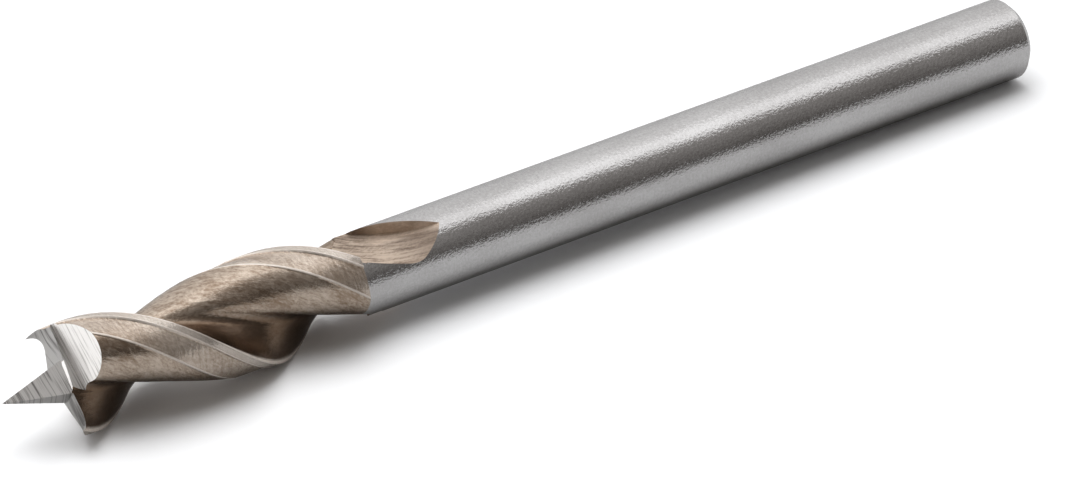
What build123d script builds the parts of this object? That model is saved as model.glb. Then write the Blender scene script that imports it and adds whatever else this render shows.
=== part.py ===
from build123d import *
import math
import os

os.makedirs("parts", exist_ok=True)

# A brad point drill bit for wood, ground from one steel bar: a plain parallel shank, a fluted head
# that is larger than the shank, and a tip with two spurs and a centre point.
# All sizes are in millimetres. Distances along the bit are measured from the butt end of the shank.

# Blank
shank_diameter = 6.0
head_diameter = 8.0
shank_length = 59.15
head_length = 23.95
butt_chamfer = 0.5

# Helix of the flutes. The roll angle turns the whole bit about its axis as it lies.
helix_lead = 30.57
roll_angle = 153.3

# Lands: a narrow margin at full size, then a step down to the cleared land
land_angle = 44.4
margin_angle = 10.2
land_clearance = 0.16
step_angle = 2.2

# Flute floor: three arcs that run into each other, given by the radius and the angle from the
# cutting corner where each one ends. The first one leaves the heel of the land in heel_direction.
flute_shoulder = (2.41, 81.2)
flute_wall = (1.72, 64.5)
lip_root = (1.60, 31.5)
heel_direction = (-0.840, -0.543)
rake_bow = 0.10

# Run-out of the flutes, left by the rim of the grinding wheel where it lifts out of the shank
wheel_radius = 9.0
wheel_width = 3.06
wheel_root = 1.03
wheel_yaw = 25.9
wheel_setback = 0.92
wheel_phase = 21.7
rim_slope = -0.07
rake_side_slope = 2.55
far_side_slope = 8.0
wheel_corner = 0.80

# Tip, measured from the plane of the two spurs. x runs towards a spur and y in the cutting direction.
# Each lip and its relief are one hollow grind: a gentle slope, then an arc that climbs to the spur.
lip_bottom = (2.54, -0.85)
lip_slope = 0.096
lip_relief = 0.157
grind_turn = 5.0

# Centre point: a pyramid with four faces, given by its height and two corners of its base
point_height = 4.16
point_lip_corner = (1.45, 0.70, -0.63)
point_back_corner = (0.96, -1.23, -0.79)
point_base = -1.5

# Narrow floor beside the centre point, left by the wheel that ground its broad face
strip_level = -0.400
strip_fall = 0.379
strip_inner = -1.65
strip_outer = 0.80
strip_near = -0.40
strip_far = -2.20
strip_top = 0.50

# Gash behind each lip: a facet that falls away from a foot line, and a wall that leans over it
gash_foot_inner = (-2.20, -0.22, -1.81)
gash_foot_outer = (4.60, -1.90, -1.48)
gash_lean_inner = 0.35
gash_lean_outer = 1.89
gash_top = -0.40
gash_fall = 0.379

# Room left around the blank, so that each cut runs clear of the metal
clearance = 1.0
spare_length = 0.34

shank_radius = shank_diameter / 2
head_radius = head_diameter / 2
land_radius = head_radius - land_clearance
turn_per_mm = 360.0 / helix_lead
spur_plane = shank_length + head_length
wheel_station = shank_length - wheel_setback


def polar(radius, angle):
    return Vector(radius * math.cos(math.radians(angle)), radius * math.sin(math.radians(angle)))


def half_turn(point):
    return Vector(-point.X, -point.Y, point.Z)


def land_and_flute():
    """Edges of one land and of the flute behind it, from one cutting corner to the other."""
    corner = polar(head_radius, 0)
    margin_end = polar(head_radius, -margin_angle)
    land_start = polar(land_radius, -margin_angle - step_angle)
    heel = polar(land_radius, -land_angle)
    margin = ThreePointArc(corner, polar(head_radius, -margin_angle / 2), margin_end)
    step = Line(margin_end, land_start)
    land = ThreePointArc(
        land_start,
        polar(land_radius, -(margin_angle + step_angle + land_angle) / 2),
        heel,
    )
    opposite_corner = half_turn(corner)
    root_out = half_turn(polar(*lip_root))
    heel_arc = TangentArc(heel, half_turn(polar(*flute_shoulder)), tangent=heel_direction)
    wall_arc = TangentArc(heel_arc @ 1, half_turn(polar(*flute_wall)), tangent=heel_arc % 1)
    root_arc = TangentArc(wall_arc @ 1, root_out, tangent=wall_arc % 1)
    rake_direction = root_out - opposite_corner
    middle = (root_out + opposite_corner) / 2
    hollow = Vector(-rake_direction.Y, rake_direction.X).normalized() * rake_bow
    rake = ThreePointArc(root_out, middle + hollow, opposite_corner)
    return [margin, step, land, heel_arc, wall_arc, root_arc, rake]


def fluted_bar(start, end):
    """The head's cross section, twisted along the bit between two distances from the butt."""
    first = Curve() + land_and_flute()
    second = first.rotate(Axis.Z, 180)
    section = make_face(Curve() + [first, second])
    start_angle = roll_angle + (start - spur_plane) * turn_per_mm
    placed = Pos(0, 0, start) * Rot(0, 0, start_angle) * section
    return Solid.extrude_linear_with_rotation(
        placed.face(), (0, 0, start), (0, 0, end - start), (end - start) * turn_per_mm
    )


def run_out_cutter():
    """The grinding wheel's rim and side, where the wheel stands when the flute is finished."""
    out = head_radius + clearance
    far_root = wheel_root + wheel_width * rim_slope
    profile = Polyline(
        (-out / rake_side_slope, wheel_root + out),
        (0, wheel_root),
        (wheel_width, far_root),
        (wheel_width + out / far_side_slope, far_root + out),
        close=True,
    )
    face = make_face(profile)
    rake_corner = face.vertices().sort_by_distance((0, wheel_root, 0))[0]
    face = fillet(rake_corner, wheel_corner)
    wheel = revolve(face, Axis((0, wheel_root + wheel_radius, 0), (1, 0, 0)), 360)
    yaw = math.radians(wheel_yaw)
    # The profile's x runs round the bit along the wheel's axle and its y points outwards
    contact = Plane(
        origin=(0, 0, wheel_station),
        x_dir=(0, math.cos(yaw), -math.sin(yaw)),
        z_dir=(0, -math.sin(yaw), -math.cos(yaw)),
    )
    corner_angle = roll_angle + 180 + (wheel_station - spur_plane) * turn_per_mm
    return Rot(0, 0, corner_angle + wheel_phase) * contact.location * wheel


def flank_waste():
    """Metal above one lip and its relief: a gentle slope, then a hollow that climbs to the spur."""
    reach = head_radius + clearance
    top = point_height + reach
    slope = Line((-reach, lip_bottom[1] + (lip_bottom[0] + reach) * lip_slope), lip_bottom)
    hollow = TangentArc(lip_bottom, (head_radius, 0), tangent=(1, -lip_slope))
    rest = Polyline(hollow @ 1, (reach, clearance), (reach, top), (-reach, top), slope @ 0)
    profile = make_face(Curve() + [slope, hollow, rest])
    upright = Plane(origin=(0, reach, lip_relief * reach), x_dir=(1, 0, 0), z_dir=(0, -1, 0))
    cut = extrude(upright.location * profile, amount=2 * reach, dir=(0, -1, -lip_relief))
    cut = Rot(0, 0, grind_turn) * cut
    # Each lip's cut stops at the upright plane through the axis and the lip's inner end
    split = math.degrees(math.atan2(point_lip_corner[1], point_lip_corner[0]))
    own_half = Box(
        4 * reach, 2 * reach, 4 * reach, align=(Align.CENTER, Align.MAX, Align.CENTER)
    )
    return cut & Rot(0, 0, split) * own_half


def strip_waste():
    """Metal above the narrow floor beside one broad face of the centre point."""
    near = (strip_near, strip_level + strip_fall * strip_near)
    far = (strip_far, strip_level + strip_fall * strip_far)
    outline = Polyline(near, far, (strip_far, strip_top), (strip_near, strip_top), close=True)
    across = Plane(origin=(strip_inner, 0, 0), x_dir=(0, 1, 0), z_dir=(1, 0, 0))
    return extrude(across.location * make_face(outline), amount=strip_outer - strip_inner)


def gash_profile(foot, lean):
    """Upright section through the gash at one distance from the axis."""
    x, y, z = foot
    far = -head_radius - clearance
    outline = Polyline(
        (x, y, z),
        (x, y - lean, gash_top),
        (x, far, gash_top),
        (x, far, z + gash_fall * (far - y)),
        close=True,
    )
    return make_face(outline)


def gash_waste():
    inner = gash_profile(gash_foot_inner, gash_lean_inner)
    outer = gash_profile(gash_foot_outer, gash_lean_outer)
    return loft([inner, outer], ruled=True)


def centre_point():
    """The pyramid, carried down below the lips so that it grows out of the web."""
    corners = []
    for turn in (0, 180):
        for corner in (point_lip_corner, point_back_corner):
            scale = (point_height - point_base) / (point_height - corner[2])
            foot = Vector(corner[0] * scale, corner[1] * scale, point_base)
            corners.append(foot.rotate(Axis.Z, turn))
    base = make_face(Polyline(*corners, close=True))
    return loft([base, Vertex(0, 0, point_height)], ruled=True)


def both_lips(waste):
    return waste + waste.rotate(Axis.Z, 180)


tip = Pos(0, 0, spur_plane) * Rot(0, 0, roll_angle)
point = centre_point()

head = fluted_bar(shank_length, spur_plane + point_height + spare_length)
print("bar", head.is_valid, round(head.volume, 1))
above_lips = both_lips(flank_waste()) + both_lips(strip_waste()) - point
head = head - tip * above_lips
head = head - tip * both_lips(gash_waste())
print("head", head.is_valid, round(head.volume, 1), len(head.solids()))

# The flutes reach a little way into the shank, to the station where the wheel lifts out
flutes = fluted_bar(wheel_station, shank_length)
neck = Cylinder(shank_radius, shank_length - wheel_station,
                align=(Align.CENTER, Align.CENTER, Align.MIN))
neck = (Pos(0, 0, wheel_station) * neck) & flutes
print("neck", neck.is_valid, round(neck.volume, 2), len(neck.solids()))

shank = Cylinder(shank_radius, wheel_station, align=(Align.CENTER, Align.CENTER, Align.MIN))
shank = chamfer(shank.edges().group_by(Axis.Z)[0], butt_chamfer)
shank = shank + neck
cutter = run_out_cutter()
shank = shank - cutter - cutter.rotate(Axis.Z, 180)
print("shank", shank.is_valid, round(shank.volume, 1), len(shank.solids()))

drill_bit = head + shank
print("bit", drill_bit.is_valid, round(drill_bit.volume, 1), len(drill_bit.solids()))

# The butt end stands at the origin and the tip points along -X
lying = Plane(origin=(0, 0, 0), x_dir=(0, -1, 0), z_dir=(-1, 0, 0))
drill_bit = lying.location * drill_bit
export_step(drill_bit, "parts/drill_bit.step")
print("size", drill_bit.bounding_box().size)
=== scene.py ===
# %% [markdown]
# # A brad point drill bit and its finishes
#
# The shape comes from the CAD solid and stays as it is: one steel bar, ground to a plain shank, a
# fluted head and a tip with two spurs and a centre point. This lesson gives it its surfaces. The
# shank is ground bright, the flutes and lands carry a brown heat tint, and the tip is bare steel
# where the last wheels sharpened it. Everything is in metres, in the frame of the CAD model: the
# bit lies along X with its tip towards -X, and Z is up.

# %% Load the solid
import math

import bpy
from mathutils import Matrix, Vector

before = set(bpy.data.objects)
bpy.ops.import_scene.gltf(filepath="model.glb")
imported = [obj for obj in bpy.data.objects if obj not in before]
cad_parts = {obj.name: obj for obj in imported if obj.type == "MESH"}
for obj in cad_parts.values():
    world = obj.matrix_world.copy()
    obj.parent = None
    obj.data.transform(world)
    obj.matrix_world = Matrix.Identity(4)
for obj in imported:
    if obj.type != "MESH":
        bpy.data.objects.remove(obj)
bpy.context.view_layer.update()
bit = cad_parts["drill_bit"]
print("bit loaded, triangles:", len(bit.data.polygons))

# %% [markdown]
# ## Camera
#
# The photograph was taken from the tip's side with a long lens, so the bit hardly shrinks with
# distance. A camera could be moved by hand until the outlines agree. Here its direction is written
# as two angles, and it looks back along them at a target on the bit, so each angle can be corrected
# without losing the other.

# %% Camera
camera_data = bpy.data.cameras.new("camera")
camera_data.sensor_width = 36.0
camera_data.lens = 344.05
camera_data.clip_start = 0.05
camera_data.clip_end = 20.0
camera = bpy.data.objects.new("camera", camera_data)
bpy.context.scene.collection.objects.link(camera)

target = Vector((-0.042616, -0.000935, -0.001951))
azimuth = math.radians(-35.766)
elevation = math.radians(30.586)
distance = 0.72765
back = Vector((
    math.sin(azimuth) * math.cos(elevation),
    -math.cos(azimuth) * math.cos(elevation),
    math.sin(elevation),
))


def look_back(thing, place, at):
    """Put a camera or lamp at a place, with its -Z axis towards a point."""
    thing.location = place
    thing.rotation_mode = "QUATERNION"
    thing.rotation_quaternion = (place - at).to_track_quat("Z", "Y")


look_back(camera, target + back * distance, target)
bpy.context.scene.camera = camera
print("camera at", [round(value, 3) for value in camera.location])

# %% [markdown]
# ## Shader maths as plain expressions
#
# A finish is a sum of patterns. In the node editor such a sum becomes a web of links that is hard
# to read. One small class wraps a node's output instead, so that `1 - mask` or `radius * 1000` adds
# the Math node that does it. Any other node comes from one method, `node`, which takes the node's
# type, its settings and its inputs.


# %% Wires
def plug(socket, value):
    """Link a wire to a socket, or set the socket's own value."""
    if isinstance(value, Wire):
        value.tree.links.new(value.socket, socket)
    else:
        socket.default_value = value


class Wire:
    """An output socket that can be used in sums."""

    def __init__(self, socket):
        self.socket = socket
        self.tree = socket.id_data

    def node(self, kind, settings=None, inputs=None, output=0):
        """Add a node to the same tree and give back one of its outputs."""
        made = self.tree.nodes.new(kind)
        for name, value in (settings or {}).items():
            setattr(made, name, value)
        for name, value in (inputs or {}).items():
            plug(made.inputs[name], value)
        return Wire(made.outputs[output])

    def math(self, operation, other=0.0, flipped=False):
        """A Math node on this wire and another value, which comes first if flipped."""
        first, second = (other, self) if flipped else (self, other)
        return self.node("ShaderNodeMath", {"operation": operation}, {0: first, 1: second})

    def __add__(self, other):
        return self.math("ADD", other)

    def __radd__(self, other):
        return self.math("ADD", other, flipped=True)

    def __sub__(self, other):
        return self.math("SUBTRACT", other)

    def __rsub__(self, other):
        return self.math("SUBTRACT", other, flipped=True)

    def __mul__(self, other):
        return self.math("MULTIPLY", other)

    def __rmul__(self, other):
        return self.math("MULTIPLY", other, flipped=True)

    def __truediv__(self, other):
        return self.math("DIVIDE", other)

    def __rtruediv__(self, other):
        return self.math("DIVIDE", other, flipped=True)


# %% [markdown]
# ## Nodes that come back
#
# Every finish below needs the same few nodes: a smooth step from 0 to 1, a vector put together or
# taken apart, noise and a blend of two colours. Each gets a short name here. Noise could be set to
# one size for all directions. Ground metal is streaky, so the noise takes three lengths that were
# stretched beforehand, each one times its number of lumps in a millimetre.


# %% Common nodes
def rise(value, low, high):
    """0 below low, 1 above high and a smooth change between them."""
    return value.node(
        "ShaderNodeMapRange",
        {"interpolation_type": "SMOOTHSTEP"},
        {"Value": value, "From Min": low, "From Max": high},
    )


def join(x, y, z):
    """Three numbers as one vector."""
    return x.node("ShaderNodeCombineXYZ", None, {"X": x, "Y": y, "Z": z})


def split(place):
    """The three numbers of a vector, each as a wire."""
    first = place.node("ShaderNodeSeparateXYZ", None, {0: place})
    return [Wire(socket) for socket in first.socket.node.outputs]


def noise(x, y, z, detail=3.0, roughness=0.5, distortion=0.0):
    """Noise with lumps about one unit wide along each of three stretched lengths."""
    return x.node("ShaderNodeTexNoise", None, {
        "Vector": join(x, y, z), "Scale": 1.0, "Detail": detail,
        "Roughness": roughness, "Distortion": distortion,
    })


MIX_A = 6
MIX_B = 7
MIX_RESULT = 2


def blend(mask, first, second):
    """The first colour where the mask is 0 and the second where it is 1."""
    return mask.node(
        "ShaderNodeMix",
        {"data_type": "RGBA"},
        {0: mask, MIX_A: first, MIX_B: second},
        MIX_RESULT,
    )


# %% [markdown]
# ## Where a point lies on the bit
#
# The finishes follow the way the bit was ground, so each one needs the distance from the butt end,
# the distance from the axis and the place in the flute's cross section. A texture could be painted
# on an unwrapped surface. Turning each point back along the helix is simpler: after that the flutes
# run straight, and a noise that is stretched lengthwise becomes grinding marks that wind with them.
# Both flutes are alike, so their place round the bit is a share of half a turn.

# %% Measures of the bit
MM = 1000.0
spur_plane = 83.1
helix_lead = 30.57
turn_per_mm = 2 * math.pi / helix_lead
roll = math.radians(153.3)


def places(shader):
    """Where each point of a surface lies on the bit, with lengths in millimetres."""
    here = Wire(shader.outputs[0]).node("ShaderNodeTexCoord", output="Object")
    x, y, z = split(here)
    station = x * -MM
    side = y * -MM
    up = z * MM
    angle = (station - spur_plane) * turn_per_mm + roll
    cosine = angle.math("COSINE")
    sine = angle.math("SINE")
    across = side * cosine + up * sine
    over = up * cosine - side * sine
    radius = (side * side + up * up).math("SQRT")
    half = (over.math("ARCTAN2", across) / math.pi).math("FRACT")
    return {
        "station": station, "side": side, "up": up, "across": across,
        "over": over, "radius": radius, "half": half,
    }


print("the flutes turn", round(math.degrees(turn_per_mm), 2), "degrees in a millimetre")

# %% [markdown]
# ## A finish
#
# Every part of the bit is bare or tinted steel, so all finishes start as the same metal. What varies
# over the surface is its colour, its fine relief and its roughness. The relief could be real
# geometry. It is only some hundredths of a millimetre deep, so a Bump node, which tilts the normal,
# shows the same thing without a single extra triangle.


# %% New finish
def new_finish(name, metallic=1.0):
    """A material and its shader; a value that is the same all over sits on the socket."""
    material = bpy.data.materials.new(name)
    material.use_nodes = True
    shader = material.node_tree.nodes["Principled BSDF"]
    shader.inputs["Metallic"].default_value = metallic
    return material, shader


def bump(height, strength, depth):
    """Turn a height into a normal; the depth is in metres."""
    return height.node("ShaderNodeBump", None, {
        "Height": height, "Strength": strength, "Distance": depth,
    })


def dress(shader, colour, normal, roughness):
    """Link what varies over the surface."""
    plug(shader.inputs["Base Color"], colour)
    plug(shader.inputs["Normal"], normal)
    plug(shader.inputs["Roughness"], roughness)


# %% [markdown]
# ## Bright ground shank
#
# The shank was ground while it turned, which leaves very fine marks round it and a satin shine. An
# anisotropic shader would do, but the closing export keeps only colour, roughness and normal. So
# the marks are a noise squeezed along the axis, which breaks up the edge of each reflection as the
# photograph shows. A fine grain breaks the edges further, and wide patches make the grey uneven.

# %% Shank finish
ground_grey = (0.62, 0.615, 0.62, 1)
ground_bright = (0.80, 0.80, 0.81, 1)
shank_depth = 0.00004

shank_steel, shank_shader = new_finish("ground_shank")
at = places(shank_shader)
marks = noise(at["station"] * 7.0, at["side"] * 1.6, at["up"] * 1.6, detail=4.0, roughness=0.65)
grain = noise(at["station"] * 5.0, at["side"] * 5.0, at["up"] * 5.0, detail=2.0, roughness=0.7)
patches = noise(at["station"] * 0.12, at["side"] * 0.5, at["up"] * 0.5)
tone = marks * 0.2 + patches * 0.4 + grain * 0.4
dress(
    shank_shader,
    blend(rise(tone, 0.35, 0.65), ground_grey, ground_bright),
    bump(marks * 0.25 + grain * 1.6, 0.50, shank_depth),
    0.08 + grain * 0.10 + patches * 0.04,
)
print("shank finish:", len(shank_steel.node_tree.nodes), "nodes")

# %% [markdown]
# ## Brown flutes and lands
#
# The flutes carry a thin brown tint, such as heat leaves on steel. It could be one flat colour. On
# the real bit it is paler and mottled, so a streaky pattern that winds with the flute is mixed
# with a cloudy one and a speckle. The concave rake side of each flute, below the cutting edge, lies
# in shade, and a mask paints that shade into the colour as a darker brown.

# %% Tint of the flutes
flute_brown = (0.34, 0.245, 0.175, 1)
flute_pale = (0.78, 0.67, 0.565, 1)
# Painted shade: the concave rake side of each flute lies in shade, painted here as a darker brown.
rake_shade_brown = (0.16, 0.10, 0.062, 1)
rake_shade_ends = (0.24, 0.42)
rake_shade_strength = 0.85

flute_steel, flute_shader = new_finish("tinted_flute")
at = places(flute_shader)
streaks = noise(at["across"] * 2.6, at["over"] * 2.6, at["station"] * 1.3,
                detail=5.0, roughness=0.7, distortion=0.8)
cloud = noise(at["across"] * 0.5, at["over"] * 0.5, at["station"] * 0.25)
speckle = noise(at["across"] * 5.0, at["over"] * 5.0, at["station"] * 4.0,
                detail=4.0, roughness=0.75)
tone = streaks * 0.4 + cloud * 0.25 + speckle * 0.35
# Mask of the painted shade, strongest on the rake side and gone past its ends.
rake = (1.0 - rise(at["half"], *rake_shade_ends)) * rake_shade_strength
flute_tint = blend(rake, blend(rise(tone, 0.38, 0.62), flute_brown, flute_pale), rake_shade_brown)
print("the rake side is brown up to", rake_shade_ends[1], "of half a turn")

# %% [markdown]
# The lands are the outermost strips of the head. They could be a finish of their own, picked by
# face. Here one finish serves lands and flutes, and the distance from the axis tells them apart, so
# that a pale edge, partly rubbed and partly a painted highlight, can run over both. The marks of the
# lands run round the bit, which breaks a dark reflection into bristles, and the narrow margin behind
# each cutting edge is paler and greyer.

# %% Tint of the lands
land_brown = (0.42, 0.325, 0.25, 1)
land_pale = (0.84, 0.74, 0.645, 1)
margin_bare = (0.76, 0.71, 0.66, 1)
margin_strength = 0.6
margin_share = 0.9433
margin_blur = 0.004
land_radii = (3.78, 3.82)

land = rise(at["radius"], *land_radii)
rings = noise(at["station"] * 4.6, at["side"] * 0.6, at["up"] * 0.6, roughness=0.7)
tone = rings * 0.2 + cloud * 0.4 + speckle * 0.4
land_tint = blend(rise(tone, 0.38, 0.62), land_brown, land_pale)
margin = rise(at["half"], margin_share, margin_share + margin_blur) * land * margin_strength
tint = blend(margin, blend(land, flute_tint, land_tint), margin_bare)
print("the margin is", round((1.0 - margin_share) * 180.0, 1), "degrees wide")

# %% [markdown]
# Every edge of a land shows as a pale, pinkish line: partly the tint rubbed off the edge, and
# partly a painted highlight, such as a sharp edge catches. Such edges could be found from the mesh,
# but here they sit at known shares of the half turn, which follow them exactly: the cutting edge at
# 0 or 1, the end of the margin at 0.943 and the heel at 0.753. A narrow band round each one is pale,
# more in some places than in others.

# %% Rubbed edges and painted edge highlights
# The pale edge colour is partly rubbed steel and partly a painted highlight along each edge.
rubbed_and_highlight_pale = (0.90, 0.82, 0.75, 1)
rubbed_and_highlight_radii = (3.55, 3.75)
heel_share = 0.7533
heel_width = 0.011
margin_width = 0.009
lip_width = 0.010
full_share = 0.35
flute_depth = 0.00005


def band(value, centre, width):
    """1 round the centre and 0 beyond the width, on both sides."""
    gap = (value - centre).math("ABSOLUTE")
    return 1.0 - rise(gap, width * full_share, width)


heel_edge = band(at["half"], heel_share, heel_width)
margin_edge = band(at["half"], margin_share, margin_width)
lip_edge = band((at["half"] - 0.5).math("ABSOLUTE"), 0.5, lip_width)
edges = heel_edge.math("MAXIMUM", margin_edge).math("MAXIMUM", lip_edge)
# Mask of the pale edges: rubbed tint and painted highlight together.
worn_and_highlight = edges * rise(at["radius"], *rubbed_and_highlight_radii) * (0.6 + speckle * 0.6)
height = streaks * (1.0 - land) * 0.8 + rings * land * 3.0 + speckle * 0.5
dress(
    flute_shader,
    blend(worn_and_highlight, tint, rubbed_and_highlight_pale),
    bump(height, 0.55, flute_depth),
    0.11 + cloud * 0.08 + speckle * 0.12,
)
plug(flute_shader.inputs["Metallic"], 1.0 - land * 0.25 - worn_and_highlight * 0.35)
print("flute finish:", len(flute_steel.node_tree.nodes), "nodes")

# %% [markdown]
# ## Run-out of the flutes
#
# Where the grinding wheel lifted out of the shank it left a scoop with coarse, wavy lines. They
# follow the wheel's own travel, which is turned away from the axis, and not the helix. The wheel's
# angles are known from the CAD model, so the lines are a noise in the wheel's directions: long
# along its travel and narrow along its axle. On the far side of the bit the same wheel stood half a
# turn round, and the sign of the outward distance turns the directions with it.

# %% Path of the wheel
wheel_yaw = math.radians(25.9)
wheel_angle = math.radians(62.1)

run_out_steel, run_out_shader = new_finish("run_out", metallic=0.15)
at = places(run_out_shader)
outward = at["side"] * math.cos(wheel_angle) + at["up"] * math.sin(wheel_angle)
sideways = at["up"] * math.cos(wheel_angle) - at["side"] * math.sin(wheel_angle)
sideways = sideways * outward.math("SIGN")
travel = at["station"] * math.cos(wheel_yaw) + sideways * math.sin(wheel_yaw)
axle = sideways * math.cos(wheel_yaw) - at["station"] * math.sin(wheel_yaw)
print("the wheel's lines lean", round(math.degrees(wheel_yaw), 1), "degrees from the axis")

# %% [markdown]
# The lines are dark and the ridges between them pale. The wall across the scoop is painted paler
# than its floor, a painted light, and the outer end is painted darker, a painted shade. Both could
# be faces with finishes of their own, but the change is gradual, so two masks blend the colours. A
# coarse surface scatters light, so this finish is much duller than the flutes and hardly shines like
# metal.

# %% Run-out finish
line_brown = (0.17, 0.12, 0.088, 1)
ridge_brown = (0.54, 0.44, 0.355, 1)
# Painted shade: this darker colour stands for the shade at the outer end of the scoop.
end_shade_brown = (0.16, 0.115, 0.085, 1)
# Painted light: the wall across the scoop is painted paler than its floor.
lit_wall_brown = (0.50, 0.39, 0.30, 1)
lit_wall_pale = (0.80, 0.67, 0.56, 1)
end_shade_stations = (52.2, 56.0)
end_shade_strength = 0.65
lit_wall_stations = (55.0, 57.0)
lit_wall_shares = (0.49, 0.57)
run_out_depth = 0.00005

waves = noise(travel * 0.35, axle * 4.6, outward * 0.3, roughness=0.6, distortion=0.3)
fine = noise(at["station"] * 3.0, at["side"] * 7.0, at["up"] * 7.0, roughness=0.7)
tone = waves * 0.7 + fine * 0.3
# Mask of the painted shade at the outer end of the scoop.
end_shade = (1.0 - rise(at["station"], *end_shade_stations)) * end_shade_strength
scoop = blend(end_shade, blend(rise(tone, 0.36, 0.60), line_brown, ridge_brown), end_shade_brown)
# Mask of the painted light on the wall across the scoop.
lit_wall = rise(at["half"], *lit_wall_shares) * (1.0 - rise(at["station"], *lit_wall_stations))
dress(
    run_out_shader,
    blend(lit_wall, scoop, blend(rise(tone, 0.34, 0.62), lit_wall_brown, lit_wall_pale)),
    bump(waves + fine * 0.3, 0.4, run_out_depth),
    0.42 + fine * 0.15,
)
print("run-out finish:", len(run_out_steel.node_tree.nodes), "nodes")

# %% [markdown]
# ## Freshly ground tip
#
# The lips, spurs and gashes were ground last, through the brown tint, so they are bare and bright.
# The relief faces are painted paler still, a painted light, and the faces of the point darker, a
# painted shade, though all are the same bare steel.
# Each wheel left parallel scratches along its path. One noise for the whole tip would run the same
# way everywhere, so each group of faces gets its own directions: the scratches change quickly across
# the path and slowly along it.

# %% Tip finishes
tip_depth = 0.00003


def ground_face(name, across_path, along_path, dark, light, roughness):
    """Bare steel with parallel scratches; both directions are in the tip's own x, y and z."""
    material, shader = new_finish(name)
    at = places(shader)
    tip_x = at["side"] * math.cos(roll) + at["up"] * math.sin(roll)
    tip_y = at["up"] * math.cos(roll) - at["side"] * math.sin(roll)
    tip_z = at["station"] - spur_plane

    def way(direction):
        x, y, z = direction
        return tip_x * x + tip_y * y + tip_z * z

    lines = noise(way(across_path) * 8.0, way(along_path) * 0.22, tip_z * 0.1, roughness=0.6)
    bands = noise(way(across_path) * 1.8, way(along_path) * 0.25, tip_z * 0.1, detail=2.0)
    grain = noise(tip_x * 9.0, tip_y * 9.0, tip_z * 9.0, detail=2.0, roughness=0.6)
    dress(
        shader,
        blend(rise(lines * 0.75 + bands * 0.25, 0.37, 0.52), dark, light),
        bump(lines + grain * 0.25, 0.35, tip_depth),
        roughness + lines * 0.14 + grain * 0.06,
    )
    return material


# Painted light: the relief faces, which look towards the tip's side, get a near-white colour.
relief_lit_steel = ground_face(
    "ground_relief", across_path=(0.24, 0.91, 0.34), along_path=(0.97, -0.24, 0.05),
    dark=(0.55, 0.535, 0.52, 1), light=(0.98, 0.965, 0.95, 1), roughness=0.44)
# Painted shade: the faces of the point get a darker colour of the same bare steel.
point_shaded_steel = ground_face(
    "ground_point", across_path=(0.0, 0.30, 0.95), along_path=(0.98, -0.15, -0.06),
    dark=(0.25, 0.24, 0.235, 1), light=(0.66, 0.65, 0.64, 1), roughness=0.30)
print("tip finishes:", relief_lit_steel.name, point_shaded_steel.name)

# %% [markdown]
# ## Faces of the solid
#
# Each finish belongs to whole faces of the solid. In Blender they could be picked by hand, but the
# choice has to come out the same each time the script runs. Each face of the CAD solid arrives as an
# island of triangles that shares no corner with its neighbours. Triangles that share a corner are
# joined into groups, and each group is one face.


# %% Islands of the solid
def islands(mesh):
    """Groups of polygons that share vertices."""
    leader = list(range(len(mesh.vertices)))

    def find(index):
        while leader[index] != index:
            leader[index] = leader[leader[index]]
            index = leader[index]
        return index

    for polygon in mesh.polygons:
        first = find(polygon.vertices[0])
        for index in polygon.vertices:
            leader[find(index)] = first
    groups = {}
    for polygon in mesh.polygons:
        groups.setdefault(find(polygon.vertices[0]), []).append(polygon)
    return list(groups.values())


faces = islands(bit.data)
print("faces of the solid:", len(faces))

# %% [markdown]
# ## Which face has which finish
#
# The faces of the shank can be told by where they lie. The others need a second fact: a face of the
# helical sweep is everywhere parallel to the helix, and a face of a run-out or of the tip is not.
# On the tip, a face whose normal is about twenty degrees off the bit's axis has the pale relief
# finish, a painted light, and the rest have the darker finish of the point, a painted shade.

# %% Finish of a face
SHANK, FLUTE, RUN_OUT, RELIEF, POINT = range(5)
shank_reach = 20.0
shank_length = 59.15
tip_start = 80.0
run_out_lean = 0.06
swept_lean = 0.2
relief_facing = (0.90, 0.96)


def off_helix(polygon):
    """How far a face leans out of the helical sweep: 0 for a swept face."""
    side = polygon.center.y * MM
    up = polygon.center.z * MM
    sweep = Vector((-1.0, up * turn_per_mm, -side * turn_per_mm))
    return abs(polygon.normal.dot(sweep.normalized()))


def finish_of(group):
    """The finish of one face, from its place, its lean out of the sweep and where it faces."""
    stations = [-polygon.center.x * MM for polygon in group]
    area = sum(polygon.area for polygon in group)
    lean = sum(off_helix(polygon) * polygon.area for polygon in group) / area
    facing = sum(-polygon.normal.x * polygon.area for polygon in group) / area
    if min(stations) < shank_reach:
        return SHANK
    if max(stations) < shank_length and lean > run_out_lean:
        return RUN_OUT
    if sum(stations) / len(stations) < tip_start or lean < swept_lean:
        return FLUTE
    if relief_facing[0] < facing < relief_facing[1]:
        return RELIEF
    return POINT


finishes = (shank_steel, flute_steel, run_out_steel, relief_lit_steel, point_shaded_steel)
bit.data.materials.clear()
for finish in finishes:
    bit.data.materials.append(finish)
counts = [0] * len(finishes)
for group in faces:
    index = finish_of(group)
    counts[index] += 1
    for polygon in group:
        polygon.material_index = index
print("faces with shank, flute, run-out, relief and point finish:", counts)

# %% [markdown]
# ## Floor
#
# The bit rests on its head and on the rim of its butt end, so its axis leans a little. The bit
# could be tilted on a level floor, but it keeps the frame of the CAD model, so the floor slopes
# under it by the same angle instead.

# %% Floor
floor_reach = 3.0
floor_slope = math.radians(0.91)
floor_height = -0.0030

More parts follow.
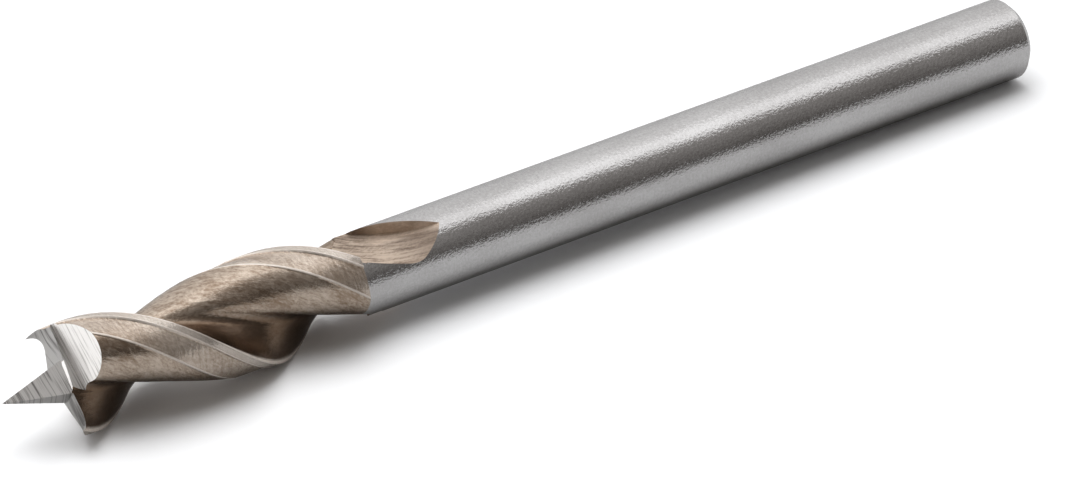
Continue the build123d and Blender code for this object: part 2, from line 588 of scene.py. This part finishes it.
floor_mesh = bpy.data.meshes.new("floor")
corners = []
for x_side, y_side in ((-1, -1), (1, -1), (1, 1), (-1, 1)):
    x = x_side * floor_reach
    corners.append((x, y_side * floor_reach, floor_height + x * math.tan(floor_slope)))
floor_mesh.from_pydata(corners, [], [(0, 1, 2, 3)])
floor = bpy.data.objects.new("floor", floor_mesh)
bpy.context.scene.collection.objects.link(floor)
print("floor slope in degrees:", round(math.degrees(floor_slope), 2))

# %% [markdown]
# The floor is a sheet of paper that looks white in the photograph. A large white floor would light
# the bit from below, which a sheet in a real studio, lit only round the object, hardly does. So the
# paper is white to the camera and grey to every other ray, and Light Path tells the two apart.

# %% Paper
paper_seen = (0.965, 0.98, 1.0, 1)
paper_reflected = (0.43, 0.43, 0.43, 1)

paper = bpy.data.materials.new("white_paper")
paper.use_nodes = True
paper_shader = paper.node_tree.nodes["Principled BSDF"]
seen = Wire(paper_shader.outputs[0]).node("ShaderNodeLightPath", output="Is Camera Ray")
plug(paper_shader.inputs["Base Color"], blend(seen, paper_reflected, paper_seen))
paper_shader.inputs["Roughness"].default_value = 1.0
paper_shader.inputs["Specular IOR Level"].default_value = 0.0
floor_mesh.materials.append(paper)
print("floor material:", paper.name)

# %% [markdown]
# ## Room
#
# Polished metal shows its surroundings, so the room matters more than it would for wood. An even
# grey would make the steel look like plastic. This room is dark at the height of the floor and
# lighter overhead, which gives the dark band below the middle of the shank. The camera itself sees
# white behind the floor.

# %% World
room_low = (0.050, 0.045, 0.041, 1)
room_high = (0.330, 0.312, 0.298, 1)

world = bpy.data.worlds.new("studio")
world.use_nodes = True
background = world.node_tree.nodes["Background"]
start = Wire(background.outputs[0])
seen = start.node("ShaderNodeLightPath", output="Is Camera Ray")
upward = split(start.node("ShaderNodeTexCoord", output="Generated"))[2]
room = blend(upward, room_low, room_high)
plug(background.inputs["Color"], blend(seen, room, (1.0, 1.0, 1.0, 1)))
background.inputs["Strength"].default_value = 1.0
bpy.context.scene.world = world
print("world:", world.name)

# %% [markdown]
# ## Studio light
#
# Four soft boxes do the rest. One big lamp would be simpler, but each lamp here answers for one
# thing. A sloping panel behind the bit and a box above it give the bright upper half of the shank.
# A wall on the tip's side brightens the ground faces that look that way. It would also wash out the
# dark shadow where the head touches the paper, so it is hidden from diffuse rays and shows only in
# reflections. The last lamp does the opposite: no reflection shows it, and it fills the paper,
# which stays white round a soft shadow.


# %% Lamps
def soft_box(name, place, aim, width, height, radiance):
    """A rectangular lamp with an even brightness, turned towards a point."""
    data = bpy.data.lights.new(name, "AREA")
    data.shape = "RECTANGLE"
    data.size = width
    data.size_y = height
    data.energy = radiance * math.pi * width * height
    lamp = bpy.data.objects.new(name, data)
    look_back(lamp, Vector(place), Vector(aim))
    lamp.visible_camera = False
    bpy.context.scene.collection.objects.link(lamp)
    print("lamp", name, "with", round(data.energy, 2), "W")
    return lamp


soft_box("back_slope", (0.25, 0.575, 0.40), (0.25, 0.0, 0.0),
         width=2.8, height=1.19, radiance=0.50)
soft_box("overhead", (0.25, -0.04, 0.90), (0.25, -0.045, 0.0),
         width=2.0, height=0.60, radiance=0.74)
left_wall = soft_box("left_wall", (-0.95, 0.25, 0.22), (0.0, 0.05, 0.0),
                     width=1.3, height=0.75, radiance=1.9)
left_wall.visible_diffuse = False
paper_fill = soft_box("paper_fill", (-0.10, 0.20, 0.97), (-0.04, 0.0, 0.0),
                      width=1.0, height=0.9, radiance=2.85)
paper_fill.visible_glossy = False

# %% [markdown]
# ## View
#
# A finish must not move a surface. The Standard view shows each colour as it was written.

# %% Colour view
bpy.context.scene.view_settings.view_transform = "Standard"
